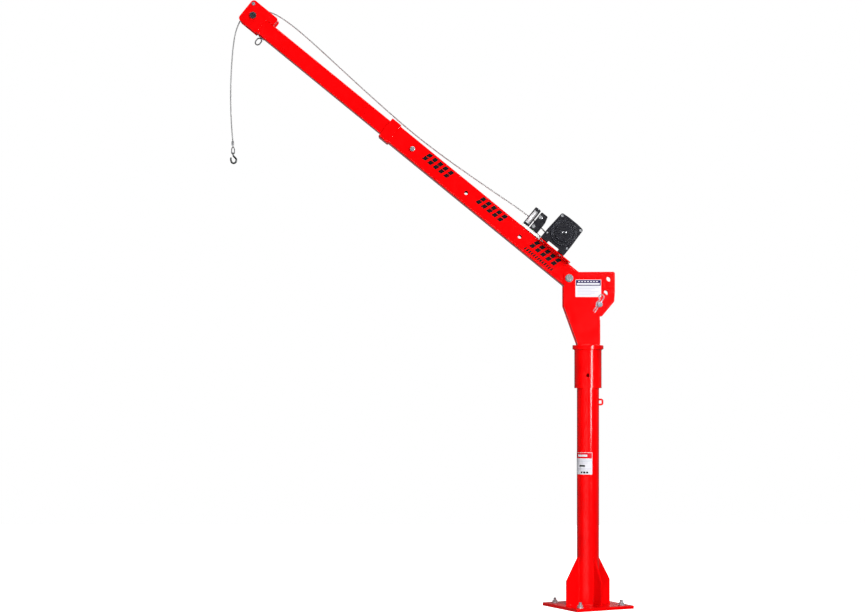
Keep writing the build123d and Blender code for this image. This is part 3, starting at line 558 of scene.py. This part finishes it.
def add_strands(bm, line):
    """Twist the rope's strands round a line."""
    points = evenly(line, ROPE_STEP * MM)
    frames = frames_along(points)
    reach = (ROPE_R - STRAND_R) * MM
    for strand in range(STRANDS):
        gone = 0.0
        route = []
        for i, (point, (_, side, other)) in enumerate(zip(points, frames)):
            if i > 0:
                gone += (point - points[i - 1]).length
            turn = TURN * (gone / (ROPE_LAY * MM) + strand / STRANDS)
            route.append(point + (side * math.cos(turn) + other * math.sin(turn)) * reach)
        add_tube(bm, route, STRAND_R * MM, sides=6)


def make_rope_run():
    """The run over the boom, from under the drum to the sheave."""
    controls = [boom(u, 0, v) for u, v in RUN_POINTS] + [sheave_point(ROPE_MEETS_SHEAVE)]
    line = nurbs_line("run_line", controls)
    bm = bmesh.new()
    add_strands(bm, line)
    rope = add_piece("rope_over_boom", bm, "rope_steel", "boom")
    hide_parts("rope_run")
    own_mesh(rope)


def make_rope_fall():
    """The rope round the sheave and down to the hook."""
    controls = [sheave_point(angle, radius) for angle, radius in SHEAVE_POINTS]
    controls.append(boom(SHEAVE[0] + ROPE_PATH_R, 0, ROPE_DROPS_V))
    controls += [place(x, 0, z) for x, z in FALL_POINTS]
    line = nurbs_line("fall_line", controls)
    bm = bmesh.new()
    add_strands(bm, line)
    rope = add_piece("rope_to_hook", bm, "rope_steel", "rope_end")
    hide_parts("rope_fall")


def drum_spot(radius, angle, y):
    """A place round the drum's axle, angle from its underside towards the tail."""
    u = DRUM[0] - radius * math.sin(angle)
    v = DRUM[1] - radius * math.cos(angle)
    return boom(u, y, v)


def make_rope_on_drum():
    """The windings: a full layer, and on it the turns that the run comes from."""
    bm = bmesh.new()
    pitch = 2 * ROPE_R
    steps = 64
    edge = DRUM_HALF - ROPE_R
    full_turns = int(2 * edge / pitch)
    layers = ((PACK_R - ROPE_R, -edge, full_turns), (PACK_R + ROPE_R, -edge, int(edge / pitch)))
    for radius, start, turns in layers:
        end = 0.0 if start + turns * pitch <= 0 else start + turns * pitch
        count = turns * steps
        route = []
        for i in range(count + 1):
            share = i / count
            angle = -TURN * turns * (1 - share) - ROPE_LEAVES_DRUM
            route.append(drum_spot(radius, angle, start + (end - start) * share))
        add_strands(bm, route)
    fill_r = PACK_R - 2 * ROPE_R + 1.2
    core = [(CORE_R, -DRUM_HALF), (fill_r, -DRUM_HALF), (fill_r, DRUM_HALF),
            (CORE_R, DRUM_HALF), (CORE_R, -DRUM_HALF)]
    axis = Matrix.Translation(boom(DRUM[0], 0, DRUM[1])) @ Matrix.Rotation(math.radians(-90), 4, "X")
    add_lathe(bm, core, axis, 48)
    windings = add_piece("rope_windings", bm, "rope_steel", "drum")
    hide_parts("rope_on_drum")


# ------------------------------------------------------------------ weld beads
BEAD_PITCH = 3.4


def bead(bm, points, radius, closed=False):
    """A rippled weld bead along a line."""
    fine = evenly(points, 0.9 * MM)
    if closed and (fine[0] - fine[-1]).length < 0.7 * MM:
        fine.pop()

    def ripple(gone):
        wave = abs(math.sin(math.pi * gone / (BEAD_PITCH * MM)))
        return radius * MM * (0.86 + 0.2 * wave)

    add_tube(bm, fine, ripple, 8, closed)


def circle(centre, radius, first, second, steps=96):
    """A closed ring of points in the plane of two directions."""
    out = []
    for k in range(steps + 1):
        turn = TURN * k / steps
        out.append(centre + (first * math.cos(turn) + second * math.sin(turn)) * radius * MM)
    return out


KEEPER_ENDS = (759.5, 778.5)        # heights of the hook keeper's two ends
KEEPER_WIRE_R = 3.6


def make_base_welds():
    """Beads round the foot of the post, along the gussets and round the keeper's two ends."""
    bm = bmesh.new()
    for n in range(4):
        spin = Matrix.Rotation(PLATE_TURN + n * TURN / 4, 4, "Z")
        quarter = []
        gap = math.asin((GUSSET_T / 2 + 2) / POST_R)
        for k in range(25):
            turn = gap + (TURN / 4 - 2 * gap) * k / 24
            quarter.append(spin @ place(POST_R * math.cos(turn), POST_R * math.sin(turn), PLATE_T))
        bead(bm, quarter, 3)
        for side in (-1, 1):
            y = side * GUSSET_T / 2
            start = math.sqrt(POST_R ** 2 - y ** 2)
            foot = [spin @ place(start, y, PLATE_T), spin @ place(GUSSET_REACH - 3, y, PLATE_T)]
            edge = [spin @ place(start, y, PLATE_T), spin @ place(start, y, PLATE_T + GUSSET_TOP - 6)]
            bead(bm, foot, 2.4)
            bead(bm, edge, 2.2)
    for z in KEEPER_ENDS:
        bead(bm, circle(place(POST_R, 0, z), KEEPER_WIRE_R, ACROSS, UP, 24), 1.3, True)
    add_piece("base_welds", bm, "red_paint", "base")


def make_head_welds():
    """Beads round the sleeve, along the cheeks' feet and up the rear web."""
    bm = bmesh.new()
    bead(bm, circle(place(0, 0, SLEEVE_TOP), SLEEVE_R, LEVEL, ACROSS), 2.2, True)
    for side in (-1, 1):
        y = side * CHEEK_OUT
        bead(bm, [place(-34, y, FLANGE_TOP), place(35, y, FLANGE_TOP)], 2.8)
        low = place(WEB_WELD_X, side * CHEEK_IN, FLANGE_TOP + 4)
        high = place(WEB_WELD_X, side * CHEEK_IN, WEB_TOP - 4)
        bead(bm, [low, high], 1.8)
    add_piece("head_welds", bm, "red_paint", "head")


def square_loop(half, corner, u):
    """A rounded square round the boom's middle line."""
    out = []
    for n in range(4):
        for k in range(7):
            turn = TURN * (n / 4 + k / 24)
            mid = TURN * (n / 4 + 1 / 8)
            y = (half - corner) * (1 if math.cos(mid) > 0 else -1) + corner * math.cos(turn)
            v = (half - corner) * (1 if math.sin(mid) > 0 else -1) + corner * math.sin(turn)
            out.append(boom(u, y, BOOM_MID + v))
    out.append(out[0])
    return out


# The two beads that hold the winch's mounting plate.
MOUNT_FROM = 38
MOUNT_TO = 175
MOUNT_WELD_Y = 34
MOUNT_V = 41


def make_boom_welds():
    """Beads round the collar and along the winch's mounting plate."""
    bm = bmesh.new()
    bead(bm, square_loop(OUTER_HALF, COLLAR_CORNER, COLLAR_FROM), 2.2, True)
    for side in (-1, 1):
        y = side * MOUNT_WELD_Y
        bead(bm, [boom(MOUNT_FROM, y, MOUNT_V), boom(MOUNT_TO, y, MOUNT_V)], 2.2)
    add_piece("boom_welds", bm, "red_paint", "boom")


TUBE_END = 1486.8           # where the cheeks meet the end of the inner tube
BRACE_FROM = 1455
EYE_PAD_SPAN = (1451, 1475)
EYE_PAD_HALF = 9


def make_nose_welds():
    """Beads on the nose cheeks, their brace and the fixed eye's pad."""
    bm = bmesh.new()
    top = BOOM_MID + INNER_HALF
    for side in (-1, 1):
        y = side * (INNER_HALF + 0.3)
        bead(bm, [boom(TUBE_END, y, -24), boom(TUBE_END, y, 30)], 1.8)
        bead(bm, [boom(BRACE_FROM + 1, side * 29.5, top), boom(1484, side * 29.5, top)], 1.6)
    bead(bm, [boom(BRACE_FROM, -24, top), boom(BRACE_FROM, 24, top)], 1.8)
    under = BOOM_MID - INNER_HALF
    half, (start, end) = EYE_PAD_HALF, EYE_PAD_SPAN
    corners = [boom(start, -half, under), boom(end, -half, under), boom(end, half, under),
               boom(start, half, under), boom(start, -half, under)]
    bead(bm, corners, 1.3, True)
    add_piece("nose_welds", bm, "red_paint", "extension")


# ------------------------------------------------------------------ fasteners
def add_hex(bm, matrix, across, low, high, dome=0.8):
    """A hexagon head with a rounded-off top."""
    outer = across / 2 / math.cos(math.pi / 6)
    rings = []
    for radius, z in ((outer, low), (outer, high - dome), (across / 2 * 0.96, high)):
        ring = []
        for k in range(6):
            turn = TURN * k / 6
            corner = place(radius * math.cos(turn), radius * math.sin(turn), z)
            ring.append(bm.verts.new(matrix @ corner))
        rings.append(ring)
    bm.faces.new(rings[0])
    bm.faces.new(rings[-1])
    for first, second in zip(rings, rings[1:]):
        for k in range(6):
            m = (k + 1) % 6
            bm.faces.new((first[k], first[m], second[m], second[k]))


# M12 anchors, as heights over the plate's top.
ANCHOR_WASHER = ((0, 0.02), (12.4, 0.02), (12.8, 0.5), (12.8, 2.0), (12.3, 2.5), (0, 2.5))
ANCHOR_NUT_ACROSS = 19
ANCHOR_NUT_LOW = 2.5
ANCHOR_NUT_HIGH = 10.2
ANCHOR_SHANK = ((0, -11.8), (5.9, -11.8), (5.9, 0.1), (0, 0.1))
ANCHOR_END = ((0, 10), (5.7, 10), (5.7, 19.2), (4.9, 20), (0, 20))
FIRST_NUT_TURN = 0.4        # radians; each nut after it is a radian further round


def make_anchor_bolts():
    """Bright anchor studs, nuts and washers in the base plate's four holes."""
    for n in range(4):
        sx = 1 if n in (0, 3) else -1
        sy = 1 if n in (0, 1) else -1
        spin = Matrix.Rotation(PLATE_TURN, 4, "Z")
        spot = spin @ place(sx * ANCHOR_OFFSET, sy * ANCHOR_OFFSET, PLATE_T)
        matrix = Matrix.Translation(spot) @ Matrix.Rotation(FIRST_NUT_TURN + n, 4, "Z")
        bm = bmesh.new()
        add_lathe(bm, ANCHOR_WASHER, matrix, 40)
        add_hex(bm, matrix, ANCHOR_NUT_ACROSS, ANCHOR_NUT_LOW, ANCHOR_NUT_HIGH)
        add_lathe(bm, ANCHOR_SHANK, matrix, 24)
        add_lathe(bm, ANCHOR_END, matrix, 24)
        add_piece(f"anchor_bolt_{n + 1}", bm, "zinc", "base", smooth=False)


def toward_near(u, v, y):
    """A placed Z axis that points out of the boom's near side."""
    return Matrix.Translation(boom(u, y, v)) @ Matrix.Rotation(math.radians(90), 4, "X")


DIAL_T = 15                 # from the gear cover's face
DIAL_RIM_T = 9
DIAL_SCREW_OFFSET = 6
DIAL_SCREW = ((0, -0.5), (3.4, -0.5), (3.4, 0.7), (2.6, 1.4), (1.0, 1.4), (1.0, 0.6), (0, 0.6))
DIAL_MARKS = 30
DIAL_MARK = ((30.2, -0.9), (32.6, -0.9), (32.6, 0.9), (30.2, 0.9))


def make_dial_details():
    """Two bright screws in the clutch dial, and raised marks round its rim."""
    bm = bmesh.new()
    face = toward_near(DRUM[0], DRUM[1], GEAR_FACE - DIAL_T)
    for side in (-1, 1):
        matrix = Matrix.Translation(LEVEL * DIAL_SCREW_OFFSET * MM * side) @ face
        add_lathe(bm, DIAL_SCREW, matrix, 24)
    add_piece("dial_screws", bm, "zinc", "clutch")
    bm = bmesh.new()
    rim = toward_near(DRUM[0], DRUM[1], GEAR_FACE - DIAL_RIM_T)
    for k in range(DIAL_MARKS):
        spin = rim @ Matrix.Rotation(TURN * k / DIAL_MARKS, 4, "Z")
        outline = [spin @ place(x, y, -0.4) for x, y in DIAL_MARK]
        depth = (spin @ place(0, 0, 0.5)) - (spin @ place(0, 0, -0.4))
        add_slab(bm, outline, depth)
    add_piece("dial_marks", bm, "black_casting", "clutch", smooth=False)


BANDS_Y = (66, 134)
BAND_W = 7
END_BOLTS_R = 24
END_BOLT_ANGLES = (35, 145, 215, 325)
END_BOLT_ACROSS = 7


def make_motor_details():
    """Clamp bands and end bolts on the motor."""
    bm = bmesh.new()
    axis = Matrix.Translation(boom(DRUM[0], 0, DRUM[1])) @ Matrix.Rotation(math.radians(-90), 4, "X")
    for y in BANDS_Y:
        band = [(MOTOR_R - 0.2, y), (MOTOR_R + 0.9, y + 0.3), (MOTOR_R + 0.9, y + BAND_W - 0.3),
                (MOTOR_R - 0.2, y + BAND_W), (MOTOR_R - 0.2, y)]
        add_lathe(bm, band, axis, 64)
    add_piece("motor_bands", bm, "black_paint", "boom")
    bm = bmesh.new()
    for angle in END_BOLT_ANGLES:
        turn = math.radians(angle)
        u = DRUM[0] + END_BOLTS_R * math.cos(turn)
        v = DRUM[1] + END_BOLTS_R * math.sin(turn)
        spot = boom(u, MOTOR_END - 0.4, v)
        matrix = Matrix.Translation(spot) @ Matrix.Rotation(math.radians(-90), 4, "X")
        add_hex(bm, matrix, END_BOLT_ACROSS, -0.4, 0.3, 0.2)
    add_piece("motor_end_bolts", bm, "zinc", "boom", smooth=False)


# ------------------------------------------------------------------ printed marks
INK_T = 0.12


def add_wrapped(bm, start, end, low, high, radius):
    """A thin patch on the post, between two angles (degrees) and two heights."""
    count = max(2, int(abs(end - start) / 6) + 1)
    for k in range(count):
        a = math.radians(start + (end - start) * k / count)
        b = math.radians(start + (end - start) * (k + 1) / count)
        corners = [(a, low), (b, low), (b, high), (a, high)]
        outline = [place(radius * math.cos(t), radius * math.sin(t), z) for t, z in corners]
        outward = place(math.cos((a + b) / 2), math.sin((a + b) / 2), 0) * INK_T
        add_slab(bm, outline, outward)


# The sticker on the post, in degrees round it and heights up it.
LABEL_R = POST_R + 0.4
LABEL_START = 182
LABEL_END = 286
LABEL_HEADER = (559, 579.6)
LABEL_BAR = (565.5, 573)
LABEL_BAR_SPAN = (205, 262)
LABEL_LINES = (552, 546.5, 541, 520, 515)
LABEL_LINES_START = 200
LABEL_HIGH_ROW = (528, 534)
LABEL_HIGH_BLOCK = (216, 250)
LABEL_LOW_ROW = (503, 510)
LABEL_LOW_BLOCKS = ((226, 236), (240, 252), (256, 266))


def make_post_label_print():
    """A red header with a pale bar, plain grey lines and four black blocks."""
    bm = bmesh.new()
    add_wrapped(bm, LABEL_START, LABEL_END, *LABEL_HEADER, LABEL_R)
    add_piece("post_label_header", bm, "label_print", "base", INKS["ink_red"], False)
    bm = bmesh.new()
    add_wrapped(bm, *LABEL_BAR_SPAN, *LABEL_BAR, LABEL_R + INK_T)
    add_piece("post_label_bar", bm, "label_print", "base", INKS["white"], False)
    bm = bmesh.new()
    for n, z in enumerate(LABEL_LINES):
        end = LABEL_END - 3 - 9 * (n % 3)
        add_wrapped(bm, LABEL_LINES_START, end, z, z + 1.4, LABEL_R)
    add_piece("post_label_lines", bm, "label_print", "base", INKS["ink_grey"], False)
    bm = bmesh.new()
    for start, end in LABEL_LOW_BLOCKS:
        add_wrapped(bm, start, end, *LABEL_LOW_ROW, LABEL_R)
    add_wrapped(bm, *LABEL_HIGH_BLOCK, *LABEL_HIGH_ROW, LABEL_R)
    add_piece("post_label_blocks", bm, "label_print", "base", INKS["ink_black"], False)


def add_flat(bm, x0, x1, z0, z1, y):
    """A thin patch that faces the near side."""
    outline = [place(x0, y, z0), place(x1, y, z0), place(x1, y, z1), place(x0, y, z1)]
    add_slab(bm, outline, place(0, -INK_T, 0))


# The data plate's print, in millimetres from its edges and the foot of its header.
DATA_MARGIN = 1.5
DATA_HEADER_H = 21
DATA_BAR = (3.5, 10)
DATA_MARKS = 7
DATA_MARK_W = 6.5
DATA_MARK_STEP = 11
DATA_MARK_ROW = (14, 17)
DATA_LINES = 6
DATA_LINE_H = 1.5
DATA_LINE_STEP = 5.6


def make_data_plate_print():
    """A dark header with a pale strip, and faint lines below it."""
    low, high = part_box("head_data_plate")
    x0, x1 = low.x / MM + DATA_MARGIN, high.x / MM - DATA_MARGIN
    z1 = high.z / MM - DATA_MARGIN
    face = low.y / MM
    header = z1 - DATA_HEADER_H
    bm = bmesh.new()
    add_flat(bm, x0, x1, header, z1, face)
    add_piece("data_plate_header", bm, "label_print", "head", INKS["ink_navy"], False)
    bm = bmesh.new()
    add_flat(bm, x0 + 4, x1 - 4, header + DATA_BAR[0], header + DATA_BAR[1], face - INK_T)
    low_z, high_z = header + DATA_MARK_ROW[0], header + DATA_MARK_ROW[1]
    for k in range(DATA_MARKS):
        start = x0 + 9 + DATA_MARK_STEP * k
        add_flat(bm, start, start + DATA_MARK_W, low_z, high_z, face - INK_T)
    add_piece("data_plate_strip", bm, "label_print", "head", INKS["white"], False)
    bm = bmesh.new()
    for n in range(DATA_LINES):
        z = header - 6 - DATA_LINE_STEP * n
        add_flat(bm, x0 + 6, x1 - 8 - 14 * (n % 3), z, z + DATA_LINE_H, face)
    add_piece("data_plate_lines", bm, "label_print", "head", INKS["ink_grey"], False)


BLOCKS = 5                  # in each of a mark's two rows
BLOCK_W = 16
BLOCK_H = 16
BLOCK_LEAN = 6
BLOCK_STEP = 25.5
BRIDGE = 2.2                # between the rows, as a stencil leaves
MARK_BEFORE_HOLE = 166
DASHES = 13
DASHES_BEFORE_HOLE = 170
DASHES_V = -22
DASH_W = 6
DASH_H = 12
DASH_LEAN = 4
DASH_STEP = 10.4


def add_boom_bar(bm, u, v, width, height, lean):
    """A leaning bar on the boom's near face."""
    y = -OUTER_HALF
    corners = [(u, v), (u + width, v), (u + width + lean, v + height), (u + lean, v + height)]
    outline = [boom(a, y + 0.02, b) for a, b in corners]
    add_slab(bm, outline, place(0, -INK_T, 0))


def make_load_marks():
    """Rows of plain stencilled blocks beside the extension holes, with a row of dashes below."""
    bm = bmesh.new()
    for hole in STAGE_HOLES:
        for k in range(BLOCKS):
            u = hole - MARK_BEFORE_HOLE + k * BLOCK_STEP
            add_boom_bar(bm, u, 0, BLOCK_W, BLOCK_H, -BLOCK_LEAN)
            add_boom_bar(bm, u - BLOCK_LEAN, BLOCK_H + BRIDGE, BLOCK_W, BLOCK_H, -BLOCK_LEAN)
    for k in range(DASHES):
        u = STAGE_HOLES[0] - DASHES_BEFORE_HOLE + DASH_STEP * k
        add_boom_bar(bm, u, DASHES_V, DASH_W, DASH_H, -DASH_LEAN)
    add_piece("load_marks", bm, "label_print", "boom", INKS["ink_black"], False)


# ------------------------------------------------------------------ stage and light
FLOOR_HALF = 4.0            # metres


def make_floor():
    """A white floor that shows to the camera but lights nothing and isn't reflected."""
    bm = bmesh.new()
    bmesh.ops.create_grid(bm, x_segments=1, y_segments=1, size=FLOOR_HALF)
    data = bpy.data.meshes.new("floor")
    bm.to_mesh(data)
    bm.free()
    floor = bpy.data.objects.new("floor", data)
    paint = bpy.data.materials.new("floor_paint")
    paint.use_nodes = True
    shader = paint.node_tree.nodes["Principled BSDF"]
    shader.inputs["Base Color"].default_value = rgb(0.93, 0.93, 0.93)
    shader.inputs["Roughness"].default_value = 0.9
    shader.inputs["Specular IOR Level"].default_value = 0.1
    shader.inputs["Emission Color"].default_value = rgb(1, 1, 1)
    shader.inputs["Emission Strength"].default_value = 0.9
    data.materials.append(paint)
    floor.visible_glossy = False
    floor.visible_diffuse = False
    bpy.context.scene.collection.objects.link(floor)


def make_light(name, spot, aim, width, height, power):
    """A soft rectangular lamp that points at a place."""
    data = bpy.data.lights.new(name, "AREA")
    data.shape = "RECTANGLE"
    data.size = width
    data.size_y = height
    data.energy = power
    lamp = bpy.data.objects.new(name, data)
    lamp.location = spot
    direction = Vector(aim) - Vector(spot)
    lamp.rotation_euler = direction.to_track_quat("-Z", "Y").to_euler()
    lamp.visible_camera = False
    bpy.context.scene.collection.objects.link(lamp)
    return lamp


# The world's light from in front of the object and from behind it, and what
# reflections take off it.
WORLD_FRONT = 0.05
WORLD_BACK = 0.32
REFLECTIONS_DIM = -0.15


def make_world():
    """A backdrop white to the camera, whose light on the object grows towards the back."""
    world = bpy.data.worlds.new("studio")
    world.use_nodes = True
    tree = world.node_tree
    background = tree.nodes["Background"]
    background.inputs["Color"].default_value = rgb(1, 1, 1)
    spot = tree.nodes.new("ShaderNodeTexCoord")
    parts = tree.nodes.new("ShaderNodeSeparateXYZ")
    tree.links.new(spot.outputs["Generated"], parts.inputs[0])
    shade = tree.nodes.new("ShaderNodeMapRange")
    shade.inputs["From Min"].default_value = -0.5
    shade.inputs["From Max"].default_value = 0.5
    shade.inputs["To Min"].default_value = WORLD_FRONT
    shade.inputs["To Max"].default_value = WORLD_BACK
    tree.links.new(parts.outputs["Y"], shade.inputs["Value"])
    path = tree.nodes.new("ShaderNodeLightPath")
    mirrored = tree.nodes.new("ShaderNodeMath")
    mirrored.operation = "MULTIPLY_ADD"
    tree.links.new(path.outputs["Is Glossy Ray"], mirrored.inputs[0])
    tree.links.new(shade.outputs[0], mirrored.inputs[2])
    mirrored.inputs[1].default_value = REFLECTIONS_DIM
    seen = tree.nodes.new("ShaderNodeMath")
    seen.operation = "MAXIMUM"
    tree.links.new(path.outputs["Is Camera Ray"], seen.inputs[0])
    tree.links.new(mirrored.outputs[0], seen.inputs[1])
    tree.links.new(seen.outputs[0], background.inputs["Strength"])
    bpy.context.scene.world = world


def make_lights():
    """One tall strip for the highlight on the post, and soft lamps round it."""
    strip = make_light("strip", (1.13, -2.12, 1.45), (0, 0, 1.45), 0.45, 1.7, 110)
    strip.visible_diffuse = False
    glint = make_light("glint", (-2.3, -2.6, 2.5), (0, 0, 1.45), 0.25, 1.5, 22)
    glint.data.color = (0.72, 0.82, 1.0)
    glint.visible_diffuse = False
    key = make_light("key", (1.6, -5.4, 2.2), (-0.5, 0, 1.2), 2.0, 2.0, 335)
    key.visible_glossy = False
    bounce = make_light("bounce", (-1.4, -2.4, 0.05), (-0.5, 0, 1.3), 3.0, 1.6, 26)
    bounce.data.spread = math.radians(100)
    bounce.visible_glossy = False
    make_light("side", (3.0, -3.4, 3.2), (-0.4, 0, 1.4), 0.9, 0.9, 40)
    make_light("top", (-0.6, -0.4, 4.6), (-0.6, 0, 1.0), 3.0, 2.0, 80)
    make_light("rear", (1.5, 4.8, 2.6), (-0.4, 0, 1.2), 2.4, 2.4, 80)


# ------------------------------------------------------------------ build
make_camera()
make_rope_run()
make_rope_fall()
make_rope_on_drum()
paint_cad_nodes()
make_base_welds()
make_head_welds()
make_boom_welds()
make_nose_welds()
make_anchor_bolts()
make_dial_details()
make_motor_details()
make_post_label_print()
make_data_plate_print()
make_load_marks()
make_floor()
make_world()
make_lights()
bpy.context.scene.view_settings.view_transform = "Standard"
